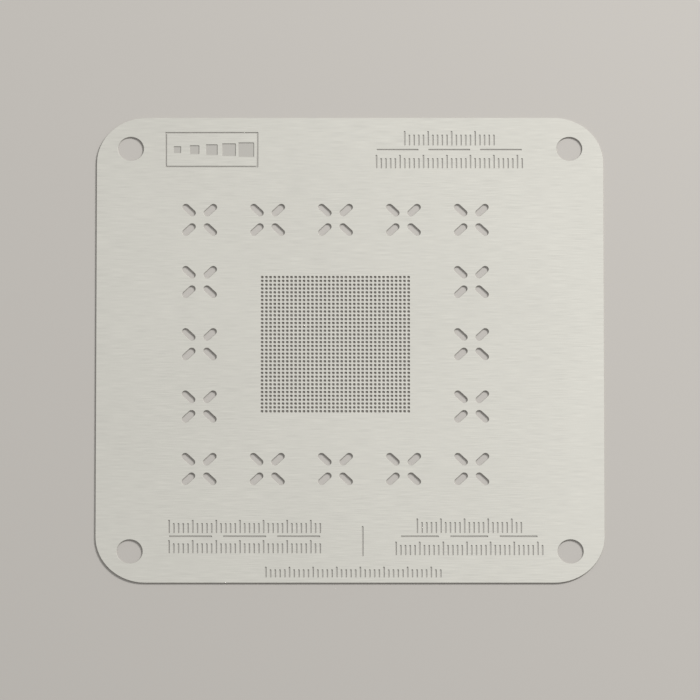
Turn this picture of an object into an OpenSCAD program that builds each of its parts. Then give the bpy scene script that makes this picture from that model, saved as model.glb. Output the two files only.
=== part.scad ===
// Solder paste stencil for one fine-pitch ball grid array: a small square of stainless
// sheet, etched right through for the solder apertures, the crossed slots around them and
// the four locating holes, and etched part way through for its marks.
// The sheet lies flat. Z = 0 is its underside, and the origin is the sheet's own centre.

/* [Sheet] */
// Side of the square sheet, mm
sheet_side = 48.5; // [47:0.5:52]
// Thickness of the sheet, mm
sheet_t = 0.12; // [0.1:0.01:0.2]
// Radius of the sheet's four rounded corners, mm
corner_r = 4.75; // [1:0.25:5]

/* [Locating holes] */
// Diameter of the four locating holes, mm
locating_d = 2.5; // [1.5:0.1:3]
// Distance between the locating holes' centres, the same both ways, mm
locating_spacing = 42; // [41:0.5:42.5]

/* [Layout] */
// Centre of the aperture field and the crosses, right of the sheet's centre, mm
layout_x = -1.4; // [-1.6:0.1:1.6]
// The same centre, beyond the sheet's centre, mm
layout_y = 0.55; // [0:0.05:0.6]

/* [Aperture field] */
// Apertures along each side of the field
field_count = 36; // [4:1:36]
// Pitch of the apertures, mm
field_pitch = 0.4; // [0.4:0.05:0.5]
// Side of one square aperture, mm
aperture_side = 0.24; // [0.2:0.01:0.28]
// Depth that polishing takes off the narrow lands between the apertures of a row, mm
land_relief = 0.002; // [0.001:0.001:0.005]

/* [Crossed slots] */
// Crosses along each side of their square ring
cross_count = 5; // [5:1:6]
// Pitch of the crosses, mm
cross_pitch = 6.5; // [6:0.1:6.6]
// Overall length of one slot, mm
slot_length = 1.55; // [1.2:0.05:1.7]
// Width of one slot, mm
slot_width = 0.7; // [0.4:0.05:0.8]
// Distance from a cross's centre to the middle of each of its four slots, mm
slot_reach = 1.44; // [1.35:0.01:1.6]

/* [Etched marks] */
// Depth of the part-etched marks in the upper face, mm
mark_depth = 0.05; // [0.03:0.01:0.06]
// Width of an etched line, mm
line_w = 0.15; // [0.1:0.01:0.2]

/* [Hidden] */

// An arc's segments where the sheet is shown as a mesh
arc_steps = 48;
// A cutter's reach past each face
past = 0.1;

// Length of a row of apertures, over all
field_span = (field_count - 1) * field_pitch + aperture_side;

// Each ruled line under a heading: [middle x, middle y, length of a dash, pitch of the dashes]
dash_rows = [[9.5, 20.9, 4.0, 4.95], [-10.05, -19.45, 4.1, 5.15], [11.35, -19.45, 3.6, 4.7]];
dashes_in_row = 3;
// The upright line between the two lower headings
divider_at = [1.2, -19.95];
divider_length = 3.1;
// The frame of the etching gauge, and the squares that grow along it
gauge_at = [-13.25, 20.9];
gauge_size = [8.9, 3.7];
gauge_squares = 5;
gauge_pitch = 1.65;
gauge_first = 0.7;
gauge_growth = 0.2;

// The outline of the sheet: a square with round corners
module rounded_square(side, r) {
    inner = side - 2 * r;
    square([side, inner], center = true);
    square([inner, side], center = true);
    for (x = [-1, 1], y = [-1, 1])
        translate([x * inner / 2, y * inner / 2]) circle(r = r, $fn = arc_steps);
}

// A hole for a locating peg in each corner
module locating_holes() {
    for (x = [-1, 1], y = [-1, 1])
        translate([x, y] * locating_spacing / 2) circle(d = locating_d, $fn = arc_steps);
}

// Each row of apertures, as one slit through the sheet
module aperture_rows() {
    for (row = [0 : field_count - 1])
        translate([0, (row - (field_count - 1) / 2) * field_pitch])
            square([field_span, aperture_side], center = true);
}

// The lands that divide every slit into square apertures, one over each ball of the package
module lands() {
    land_w = field_pitch - aperture_side;
    for (i = [1 : field_count - 1])
        translate([(i - field_count / 2) * field_pitch, 0, sheet_t / 2])
            cube([land_w, field_span + land_w, sheet_t - 2 * land_relief], center = true);
}

// A straight slot with round ends, along X
module slot() {
    straight = slot_length - slot_width;
    square([straight, slot_width], center = true);
    for (end = [-1, 1])
        translate([end * straight / 2, 0]) circle(d = slot_width, $fn = arc_steps);
}

// Four slots on the diagonals, open in the middle
module cross_of_slots() {
    for (turn = [0 : 3])
        rotate(45 + 90 * turn) translate([slot_reach, 0]) slot();
}

// A ring of crosses around the aperture field
module ring_of_crosses() {
    last = cross_count - 1;
    for (column = [0 : last], row = [0 : last])
        if (column == 0 || column == last || row == 0 || row == last)
            translate([column - last / 2, row - last / 2] * cross_pitch) cross_of_slots();
}

// The sheet with everything that is etched right through it
module etched_outline() {
    difference() {
        rounded_square(sheet_side, corner_r);
        locating_holes();
        translate([layout_x, layout_y]) {
            aperture_rows();
            ring_of_crosses();
        }
    }
}

// Three dashes in a row
module dash_row(dash_length, pitch) {
    for (i = [0 : dashes_in_row - 1])
        translate([(i - (dashes_in_row - 1) / 2) * pitch, 0])
            square([dash_length, line_w], center = true);
}

// A framed row of squares that grow from left to right, which shows how deep the etch ran
module etching_gauge() {
    difference() {
        square(gauge_size, center = true);
        square(gauge_size - 2 * [line_w, line_w], center = true);
    }
    for (i = [0 : gauge_squares - 1])
        translate([(i - (gauge_squares - 1) / 2) * gauge_pitch, 0])
            square(gauge_first + i * gauge_growth, center = true);
}

// The marks, etched part way into the upper face
module marks() {
    for (row = dash_rows)
        translate([row[0], row[1]]) dash_row(row[2], row[3]);
    translate(divider_at) square([line_w, divider_length], center = true);
    translate(gauge_at) etching_gauge();
}

// The whole stencil, one sheet of stainless steel
module stencil_sheet() {
    color([0.83, 0.82, 0.79])
        difference() {
            union() {
                linear_extrude(sheet_t) etched_outline();
                translate([layout_x, layout_y, 0]) lands();
            }
            translate([0, 0, sheet_t - mark_depth]) linear_extrude(mark_depth + past) marks();
        }
}

stencil_sheet();
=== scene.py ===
# %% [markdown]
# # A solder paste stencil
# The object is one sheet of stainless steel, 48.5 mm square and 0.12 mm thick. It is laid on a
# chip, solder paste is wiped over it, and the paste that drops through its 1296 square apertures
# becomes one ball of solder each. Everything on it is etched: the apertures, the crossed slots
# and the locating holes go right through, and the marks stop part way down.
# The lesson builds that sheet as one closed mesh from its contours, gives it two finishes, and
# lights it so that a step of a tenth of a millimetre can be read.

# %% Load the frame
import math
from collections import namedtuple

import bpy
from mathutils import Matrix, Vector
from mathutils.geometry import delaunay_2d_cdt


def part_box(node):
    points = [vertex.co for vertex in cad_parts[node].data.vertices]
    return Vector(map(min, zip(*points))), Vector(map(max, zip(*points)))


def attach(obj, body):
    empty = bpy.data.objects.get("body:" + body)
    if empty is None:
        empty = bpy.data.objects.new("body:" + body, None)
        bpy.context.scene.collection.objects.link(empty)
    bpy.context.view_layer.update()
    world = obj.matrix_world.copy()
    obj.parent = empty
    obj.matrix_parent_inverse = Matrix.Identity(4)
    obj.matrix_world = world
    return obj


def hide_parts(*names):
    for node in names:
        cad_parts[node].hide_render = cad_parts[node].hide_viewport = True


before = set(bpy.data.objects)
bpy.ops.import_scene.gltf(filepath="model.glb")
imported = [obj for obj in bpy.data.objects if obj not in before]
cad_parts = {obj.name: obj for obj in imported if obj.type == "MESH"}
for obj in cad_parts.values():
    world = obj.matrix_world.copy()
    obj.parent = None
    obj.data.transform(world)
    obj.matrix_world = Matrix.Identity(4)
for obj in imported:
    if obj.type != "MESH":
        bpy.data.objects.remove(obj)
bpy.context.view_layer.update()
SHEET = "stencil_sheet"
MM = 0.001
low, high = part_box(SHEET)
side, thickness = (high.x - low.x) / MM, (high.z - low.z) / MM
print(f"sheet {side:.2f} mm square, {thickness:.3f} mm thick")

# %% [markdown]
# ## Contours
# Every shape on the sheet, from its outline to the smallest aperture, is a rectangle with round
# corners: a circle is one whose corners meet, and a slot is one whose ends do. They could be
# cutters for a boolean modifier, but 1364 cuts are slow and leave ragged triangles at the edges.
# Here one function gives the points of any of them, and can make the shape a little larger or
# smaller while its points stay in step. That is what a wall between two copies needs.

# %% One contour for everything
# A cut's steps are the straight pieces of each rounded corner
Cut = namedtuple("Cut", "x y width height radius turn steps")
same_place = 1e-6


def contour(cut, grow=0.0):
    """The cut's points, anticlockwise, in millimetres, with the shape made larger by grow."""
    across, up = cut.width / 2 - cut.radius, cut.height / 2 - cut.radius
    corners = ((across, up), (-across, up), (-across, -up), (across, -up))
    arc = []
    for quarter, centre in enumerate(corners):
        for step in range(cut.steps + 1):
            angle = math.pi / 2 * (quarter + step / cut.steps)
            point = (*centre, math.cos(angle), math.sin(angle))
            if not arc or math.dist(point, arc[-1]) > same_place:
                arc.append(point)
    if math.dist(arc[0], arc[-1]) < same_place:
        arc.pop()
    radius = cut.radius + grow
    c, s = math.cos(cut.turn), math.sin(cut.turn)
    flat = [(cx + radius * ux, cy + radius * uy) for cx, cy, ux, uy in arc]
    return [(cut.x + c * x - s * y, cut.y + s * x + c * y) for x, y in flat]


corner_radius, corner_steps = 4.75, 16
outline = Cut(0, 0, side, side, corner_radius, 0, corner_steps)
print(len(contour(outline)), "points round the sheet")

# %% [markdown]
# ## What goes right through
# The four locating holes sit on a square near the corners, for the pegs of a holder. The aperture
# field and the ring of crosses share a centre of their own, a little off the sheet's. The
# apertures are square with rounded corners, so that the paste lets go of them cleanly. The slots
# let the thin sheet give as it warms, and each cross is four of them round an open middle.
# Each kind is a loop over its own pitch, so a change of one number moves the whole pattern.

# %% Locating holes
hole_diameter, hole_spacing, hole_steps = 2.5, 42.0, 12


def locating_holes():
    half, width = hole_spacing / 2, hole_diameter
    corners = [(x, y) for x in (-half, half) for y in (-half, half)]
    return [Cut(x, y, width, width, width / 2, 0, hole_steps) for x, y in corners]


print(len(locating_holes()), "locating holes")

# %% Apertures
layout_x, layout_y = -1.4, 0.55
field_count, field_pitch = 36, 0.4
aperture_side, aperture_radius, aperture_steps = 0.24, 0.06, 2


def aperture_field():
    line = [(i - (field_count - 1) / 2) * field_pitch for i in range(field_count)]
    places = [(layout_x + x, layout_y + y) for x in line for y in line]
    shape = (aperture_side, aperture_side, aperture_radius, 0, aperture_steps)
    return [Cut(x, y, *shape) for x, y in places]


print(len(aperture_field()), "apertures")

# %% Crossed slots
cross_count, cross_pitch = 5, 6.5
slot_length, slot_width, slot_reach, slot_steps = 1.55, 0.7, 1.44, 7


def cross_of_slots(x, y):
    slots = []
    for quarter in range(4):
        turn = math.pi / 4 + quarter * math.pi / 2
        at = (x + slot_reach * math.cos(turn), y + slot_reach * math.sin(turn))
        slots.append(Cut(*at, slot_length, slot_width, slot_width / 2, turn, slot_steps))
    return slots


def ring_of_crosses():
    last = cross_count - 1
    slots = []
    for column in range(cross_count):
        for row in range(cross_count):
            if {column, row} & {0, last}:
                x, y = (column - last / 2) * cross_pitch, (row - last / 2) * cross_pitch
                slots += cross_of_slots(layout_x + x, layout_y + y)
    return slots


print(len(ring_of_crosses()), "slots")

# %% [markdown]
# ## The marks
# The marks are etched only part way into the upper face. Each block of them has a ruled line of
# three dashes with plain graduated scales above and below it, and an upright line parts the two
# lower blocks. A framed gauge fills the upper left corner: its squares grow by even steps, and
# show how far the etching ran. They could be a bump in the material, but a pocket with a wall
# of its own catches the light on its far edge and keeps its depth from every side.

# %% Bars, dashes and scales
line_width, mark_radius = 0.15, 0.03
tick_pitch, ticks_to_long, short_tick = 0.45, 5, 0.75
# Each row's middle, and the length and pitch of its dashes
dash_rows = [(9.5, 20.9, 4.0, 4.95), (-10.05, -19.45, 4.1, 5.15), (11.35, -19.45, 3.6, 4.7)]
# Each scale's middle, foot, length and height
scale_rows = [
    (9.5, 21.35, 8.5, 1.5),
    (9.5, 18.95, 14.0, 1.4),
    (-10.05, -19.1, 14.5, 1.35),
    (-10.05, -21.2, 14.5, 1.35),
    (11.35, -19.1, 10.0, 1.5),
    (11.35, -21.4, 14.0, 1.4),
    (0.3, -23.7, 16.5, 1.1),
]


def bar(x, y, width, height):
    return Cut(x, y, width, height, mark_radius, 0, 1)


def dash_row(x, y, length, pitch):
    return [bar(x + i * pitch, y, length, line_width) for i in (-1, 0, 1)]


def scale_row(x, foot, length, height):
    """A graduated scale, on which every fifth tick has the full height."""
    steps = round(length / tick_pitch)
    ticks = []
    for i in range(steps + 1):
        tall = height * (1 if i % ticks_to_long == 0 else short_tick)
        ticks.append(bar(x + (i - steps / 2) * tick_pitch, foot + tall / 2, line_width, tall))
    return ticks


divider = bar(1.2, -19.95, line_width, 3.1)
marks = [divider]
for row in dash_rows:
    marks += dash_row(*row)
for row in scale_rows:
    marks += scale_row(*row)
print(len(marks), "bars")

# %% Etching gauge
gauge_x, gauge_y, gauge_width, gauge_height = -13.25, 20.9, 8.9, 3.7
square_count, square_pitch, first_square, square_growth = 5, 1.65, 0.7, 0.2
gauge_frame = bar(gauge_x, gauge_y, gauge_width, gauge_height)
gauge_field = bar(gauge_x, gauge_y, gauge_width - 2 * line_width, gauge_height - 2 * line_width)
gauge_squares = []
for i in range(square_count):
    square = first_square + square_growth * i
    x = gauge_x + (i - (square_count - 1) / 2) * square_pitch
    gauge_squares.append(bar(x, gauge_y, square, square))
print("gauge of", len(gauge_squares), "squares")

# %% [markdown]
# ## One closed mesh
# Each contour becomes a stack of rings at different heights. Bands of quads join the rings into
# walls, and a flat face is filled between the rings that lie in it. A constrained Delaunay
# triangulation does the filling: it takes the rings as edges that it may not cross, and leaves
# the holes open. The result is one watertight skin, as the sheet is one piece of metal.

# %% The skin
# The second finish is for walls and pocket floors, and its darker colour is partly painted shade
FACE, ETCHED_AND_SHADED = 0, 1
# The kind of triangulation that leaves holes open
WITH_HOLES = 2


class Skin:
    """Points and faces of the sheet, with each face's finish."""

    def __init__(self):
        self.points, self.faces, self.finish, self.smooth = [], [], [], []

    def ring(self, cut, z, grow=0.0):
        start = len(self.points)
        self.points += [(x, y, z) for x, y in contour(cut, grow)]
        return list(range(start, len(self.points)))

    def add(self, face, finish, smooth):
        self.faces.append(face)
        self.finish.append(finish)
        self.smooth.append(smooth)

    def bands(self, rings, hollow=True):
        """Walls through rings that run from bottom to top, facing in where they are hollow."""
        for below, above in zip(rings, rings[1:]):
            for i in range(len(below)):
                j = (i + 1) % len(below)
                quad = (below[i], below[j], above[j], above[i])
                self.add(quad[::-1] if hollow else quad, ETCHED_AND_SHADED, True)

    def fill(self, rings, finish, up=True):
        """A flat face inside the first ring and outside the others."""
        index = [i for ring in rings for i in ring]
        flat = [Vector(self.points[i][:2]) for i in index]
        edges, start = [], 0
        for ring in rings:
            n = len(ring)
            edges += [(start + i, start + (i + 1) % n) for i in range(n)]
            start += n
        first = list(range(len(rings[0])))
        filled = delaunay_2d_cdt(flat, edges, [first], WITH_HOLES, same_place)
        triangles, origin = filled[2], filled[3]
        for triangle in triangles:
            corner = [index[origin[i][0]] for i in triangle]
            a, b, c = (Vector(self.points[i][:2]) for i in corner)
            if ((b - a).cross(c - a) > 0) != up:
                corner.reverse()
            self.add(tuple(corner), finish, False)


skin = Skin()

# %% [markdown]
# ## Walls as etching leaves them
# Acid eats sideways as well as down. It rounds the lip of every opening, so each wall has a
# narrow sloping band there. The sheet is etched from both faces at once, so the wall of a wide
# opening leans in to a waist half way down, where the two sides met. Seen from above, that
# slope draws a darker line along both sides of a slot. A bevel modifier would round all lips
# alike. Listing each wall as heights and offsets lets the small apertures stay straight.

# %% Walls
lip = 0.012
waist = 0.035
mark_depth = 0.05


def from_both_faces(lower_half):
    """A wall whose upper half mirrors its lower half."""
    return lower_half + [(1 - part, grow) for part, grow in reversed(lower_half) if part < 0.5]


# Each wall from bottom to top: share of the thickness, and how far the contour is grown there
straight_wall = from_both_faces([(0, lip), (0.1, 0)])
waisted_wall = from_both_faces([(0, lip), (0.1, 0), (0.3, -0.7 * waist), (0.5, -waist)])
rim_wall = [(part, -grow) for part, grow in straight_wall]
pocket_wall = [(1 - mark_depth / thickness, 0), (0.9, 0), (1, lip)]
island_wall = [(part, -grow) for part, grow in pocket_wall]


def wall(cut, profile, hollow=True):
    rings = [skin.ring(cut, part * thickness, grow) for part, grow in profile]
    skin.bands(rings, hollow)
    return rings


rim = wall(outline, rim_wall, hollow=False)
openings = [wall(cut, straight_wall) for cut in aperture_field()]
openings += [wall(cut, waisted_wall) for cut in locating_holes() + ring_of_crosses()]
pockets = [wall(cut, pocket_wall) for cut in marks]
squares = [wall(cut, pocket_wall) for cut in gauge_squares]
moat = wall(gauge_frame, pocket_wall)
island = wall(gauge_field, island_wall, hollow=False)
print(len(skin.faces), "faces in the walls")

# %% Flat faces
BOTTOM, TOP = 0, -1
skin.fill([rim[BOTTOM]] + [rings[BOTTOM] for rings in openings], FACE, up=False)
skin.fill([rim[TOP], moat[TOP]] + [rings[TOP] for rings in openings + pockets], FACE)
skin.fill([island[TOP]] + [rings[TOP] for rings in squares], FACE)
skin.fill([moat[BOTTOM], island[BOTTOM]], ETCHED_AND_SHADED)
for rings in pockets + squares:
    skin.fill([rings[BOTTOM]], ETCHED_AND_SHADED)
triangles = sum(len(face) - 2 for face in skin.faces)
print(len(skin.points), "points,", triangles, "triangles")

# %% The sheet as a Blender object
mesh = bpy.data.meshes.new("etched_sheet")
mesh.from_pydata([(x * MM, y * MM, z * MM) for x, y, z in skin.points], [], skin.faces)
mesh.polygons.foreach_set("material_index", skin.finish)
mesh.polygons.foreach_set("use_smooth", skin.smooth)
mesh.update()
sheet = bpy.data.objects.new("etched_sheet", mesh)
bpy.context.scene.collection.objects.link(sheet)
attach(sheet, "root")
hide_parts(SHEET)
print(sheet.name, "replaces", SHEET)

# %% [markdown]
# ## Grain for two finishes
# Cold rolling leaves stainless sheet with fine parallel lines and faint clouds, and etching
# leaves a frosted skin of tiny pits. An image of brushed metal would repeat and would blur close
# up. Both finishes are noise at different scales and stretch, so one node group makes both: it
# puts out a shade to multiply the colour by, an offset for the roughness and a height for a
# bump. It reads object coordinates, which are in metres here, so its sizes are true sizes.

# %% A helper for ranges
noise_low, noise_high = 0.3, 0.7
grain_shade, cloud_shade, grain_gloss = (0.975, 1.025), (0.985, 1.015), (-0.04, 0.04)


def spread(tree, value, span):
    """The usual range of a noise, mapped to a span."""
    node = tree.nodes.new("ShaderNodeMapRange")
    node.inputs["From Min"].default_value = noise_low
    node.inputs["From Max"].default_value = noise_high
    node.inputs["To Min"].default_value, node.inputs["To Max"].default_value = span
    tree.links.new(value, node.inputs["Value"])
    return node.outputs["Result"]


# %% The grain group
def grain_group():
    group = bpy.data.node_groups.new("steel_grain", "ShaderNodeTree")
    for name in ("Grain per m", "Stretch", "Cloud per m"):
        group.interface.new_socket(name, in_out="INPUT", socket_type="NodeSocketFloat")
    for name in ("Shade", "Roughness Offset", "Height"):
        group.interface.new_socket(name, in_out="OUTPUT", socket_type="NodeSocketFloat")
    nodes, links = group.nodes, group.links
    inside, out = nodes.new("NodeGroupInput"), nodes.new("NodeGroupOutput")
    place = nodes.new("ShaderNodeTexCoord").outputs["Object"]
    squeeze = nodes.new("ShaderNodeCombineXYZ")
    squeeze.inputs["Y"].default_value = 1.0
    squeeze.inputs["Z"].default_value = 1.0
    links.new(inside.outputs["Stretch"], squeeze.inputs["X"])
    along = nodes.new("ShaderNodeVectorMath")
    along.operation = "MULTIPLY"
    links.new(place, along.inputs[0])
    links.new(squeeze.outputs["Vector"], along.inputs[1])
    grain, cloud = nodes.new("ShaderNodeTexNoise"), nodes.new("ShaderNodeTexNoise")
    grain.inputs["Detail"].default_value = 3.0
    links.new(along.outputs["Vector"], grain.inputs["Vector"])
    links.new(place, cloud.inputs["Vector"])
    links.new(inside.outputs["Grain per m"], grain.inputs["Scale"])
    links.new(inside.outputs["Cloud per m"], cloud.inputs["Scale"])
    shade = nodes.new("ShaderNodeMath")
    shade.operation = "MULTIPLY"
    links.new(spread(group, grain.outputs["Fac"], grain_shade), shade.inputs[0])
    links.new(spread(group, cloud.outputs["Fac"], cloud_shade), shade.inputs[1])
    links.new(shade.outputs["Value"], out.inputs["Shade"])
    links.new(spread(group, grain.outputs["Fac"], grain_gloss), out.inputs["Roughness Offset"])
    links.new(grain.outputs["Fac"], out.inputs["Height"])
    return group


steel_grain = grain_group()
print("group", steel_grain.name)

# %% [markdown]
# ## Rolled and etched steel
# The flat faces keep the mill's matt rolled finish, a warm pale grey. Walls, pocket floors and
# lips are etched, duller and rougher. Their colour is darker too. That is partly the etched finish
# and partly painted shade, which makes the openings and pockets read deeper. Both are plain metals
# with a broad gloss, since a shinier one would mirror the lamp as a patch and hide the marks.

# %% Steel
cloud_per_m = 60.0
bump_strength = 0.5


def steel(name, colour, roughness, grain_per_m, stretch, bump_height):
    material = bpy.data.materials.new(name)
    material.use_nodes = True
    nodes, links = material.node_tree.nodes, material.node_tree.links
    shader = nodes["Principled BSDF"]
    shader.inputs["Metallic"].default_value = 1.0
    grain = nodes.new("ShaderNodeGroup")
    grain.node_tree = steel_grain
    grain.inputs["Grain per m"].default_value = grain_per_m
    grain.inputs["Stretch"].default_value = stretch
    grain.inputs["Cloud per m"].default_value = cloud_per_m
    tint = nodes.new("ShaderNodeVectorMath")
    tint.operation = "SCALE"
    tint.inputs[0].default_value = colour
    links.new(grain.outputs["Shade"], tint.inputs["Scale"])
    links.new(tint.outputs["Vector"], shader.inputs["Base Color"])
    rough = nodes.new("ShaderNodeMath")
    rough.inputs[1].default_value = roughness
    links.new(grain.outputs["Roughness Offset"], rough.inputs[0])
    links.new(rough.outputs["Value"], shader.inputs["Roughness"])
    bump = nodes.new("ShaderNodeBump")
    bump.inputs["Distance"].default_value = bump_height
    bump.inputs["Strength"].default_value = bump_strength
    links.new(grain.outputs["Height"], bump.inputs["Height"])
    links.new(bump.outputs["Normal"], shader.inputs["Normal"])
    return material


rolled = steel(
    "rolled_steel",
    colour=(0.69, 0.677, 0.622),
    roughness=0.56,
    grain_per_m=16000.0,
    stretch=0.03,
    bump_height=0.001 * MM,
)
# Etched finish, whose darker colour is partly painted shade in the openings and pockets
etched = steel(
    "etched_steel_painted_shade",
    colour=(0.55, 0.535, 0.50),
    roughness=0.74,
    grain_per_m=14000.0,
    stretch=1.0,
    bump_height=0.003 * MM,
)
sheet.data.materials.append(rolled)
sheet.data.materials.append(etched)
print([material.name for material in sheet.data.materials])

# %% [markdown]
# ## Floor
# The sheet lies on a plain pale floor, which shows through its holes. Two faces in one place
# would flicker, so the floor is a few thousandths of a millimetre lower than the sheet. It is a
# little darker than the steel, which sets the sheet off and lets the slots read as openings.

# %% Floor
floor_gap, floor_reach = 0.005 * MM, 5.0
floor_colour = (0.53, 0.505, 0.47, 1.0)
around = ((-1, -1), (1, -1), (1, 1), (-1, 1))
floor_corners = [(floor_reach * x, floor_reach * y, -floor_gap) for x, y in around]
floor_mesh = bpy.data.meshes.new("floor")
floor_mesh.from_pydata(floor_corners, [], [(0, 1, 2, 3)])
floor = bpy.data.objects.new("floor", floor_mesh)
bpy.context.scene.collection.objects.link(floor)
floor_paint = bpy.data.materials.new("floor_paint")
floor_paint.use_nodes = True
paint = floor_paint.node_tree.nodes["Principled BSDF"]
paint.inputs["Base Color"].default_value = floor_colour
paint.inputs["Roughness"].default_value = 0.9
paint.inputs["Specular IOR Level"].default_value = 0.1
floor.data.materials.append(floor_paint)
print(f"floor {2 * floor_reach:.0f} m across")

# %% [markdown]
# ## Light
# A wall of 0.12 mm can be seen only by its shadow, and light from straight above would throw
# none. So the lamp stands low at the upper right, where each edge throws a shadow about twice
# as wide as it is high, and the pale world gives the other half of the light. The lamp is near,
# so the sheet grows brighter towards it. World and lamp add up to about one, at which a colour
# renders as it is written.

# %% World and lamp
world = bpy.data.worlds.new("soft_room")
world.use_nodes = True
bpy.context.scene.world = world
world_level, lamp_level = 0.43, 0.58
background = world.node_tree.nodes["Background"]
background.inputs["Color"].default_value = (1.0, 1.0, 1.0, 1.0)
background.inputs["Strength"].default_value = world_level

lamp_distance, lamp_size = 0.56, 0.17
lamp_turn, lamp_height = math.radians(45), math.radians(31)
lamp_data = bpy.data.lights.new("key_lamp", "AREA")
lamp_data.shape = "DISK"
lamp_data.size = lamp_size
# The power that gives a level surface lamp_level
lamp_data.energy = lamp_level * (math.pi * lamp_distance) ** 2 / math.sin(lamp_height)
lamp = bpy.data.objects.new("key_lamp", lamp_data)
flat_reach = math.cos(lamp_height)
to_lamp = Vector((flat_reach * math.sin(lamp_turn), flat_reach * math.cos(lamp_turn), math.sin(lamp_height)))
lamp.location = to_lamp * lamp_distance
lamp.rotation_mode = "QUATERNION"
lamp.rotation_quaternion = to_lamp.to_track_quat("Z", "Y")
lamp.visible_camera = False
bpy.context.scene.collection.objects.link(lamp)
print(f"lamp {lamp_data.energy:.2f} W")

# %% [markdown]
# ## Camera
# The camera looks down on the sheet, a little tilted, so that the far side of each opening shows
# its wall. It stands well back with a long lens, as for a flat object whose square should stay
# square: near by, the lower edge would look wider than the upper one.

# %% Camera
tilt = math.radians(23.7)
camera_distance, view_width = 2.66, 66.87 * MM
aim = Vector((0.0, -0.06, thickness)) * MM
camera_data = bpy.data.cameras.new("camera")
camera_data.sensor_width = 36.0
camera_data.lens = camera_data.sensor_width * camera_distance / view_width
camera = bpy.data.objects.new("camera", camera_data)
to_camera = Vector((0.0, -math.sin(tilt), math.cos(tilt)))
camera.location = aim + to_camera * camera_distance
camera.rotation_mode = "QUATERNION"
camera.rotation_quaternion = to_camera.to_track_quat("Z", "Y")
bpy.context.scene.collection.objects.link(camera)
bpy.context.scene.camera = camera
bpy.context.scene.view_settings.view_transform = "Standard"
print(f"lens {camera_data.lens:.0f} mm")
